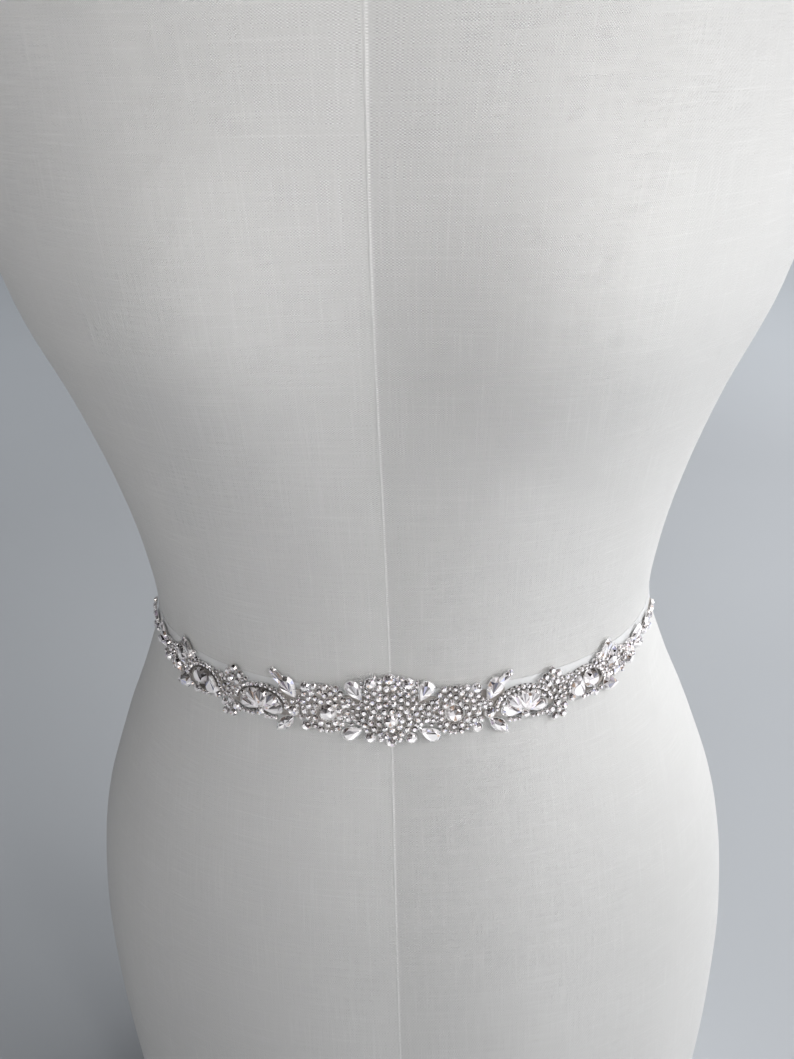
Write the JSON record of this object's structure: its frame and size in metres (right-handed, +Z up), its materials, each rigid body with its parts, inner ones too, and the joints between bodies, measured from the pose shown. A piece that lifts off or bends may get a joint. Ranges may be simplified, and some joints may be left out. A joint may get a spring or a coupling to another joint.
{
  "type": "bridal sash on dress form",
  "caption": "Narrow satin ribbon sash with a sewn-on crystal and silver applique, tied at the back of a limbless linen dress form's waist, with two hanging tails",
  "frame": {"origin": "the middle of the form's flat base, on the surface that it stands on", "axes": "+Z is up the form, -Y is the wearer's front, where the applique's medallion is, and +X is the wearer's left. The form's neck rises from the origin's axis, 0.818 m tall in all"},
  "size_m": [0.3664, 0.259, 0.818],
  "materials": {
    "linen": "plain slubby linen weave, ivory grey, matt",
    "satin": "single-face polyester satin ribbon, white, soft sheen",
    "crystal": "clear faceted foil-backed glass stones in silver settings",
    "silver": "rhodium-coloured cups, prongs and wires"
  },
  "bodies": {
    "root": {"dress_form": "linen", "ribbon_band": "satin", "ribbon_knot": "satin", "ribbon_tail_left": "satin", "ribbon_tail_right": "satin", "applique_medallion": "crystal", "applique_pave_left": "crystal", "applique_pave_right": "crystal", "applique_leaf_arch_left": "crystal", "applique_leaf_arch_right": "crystal", "applique_small_arch_left": "crystal", "applique_small_arch_right": "crystal", "applique_end_sprig_left": "crystal", "applique_end_sprig_right": "crystal"}
  },
  "joints": []
}
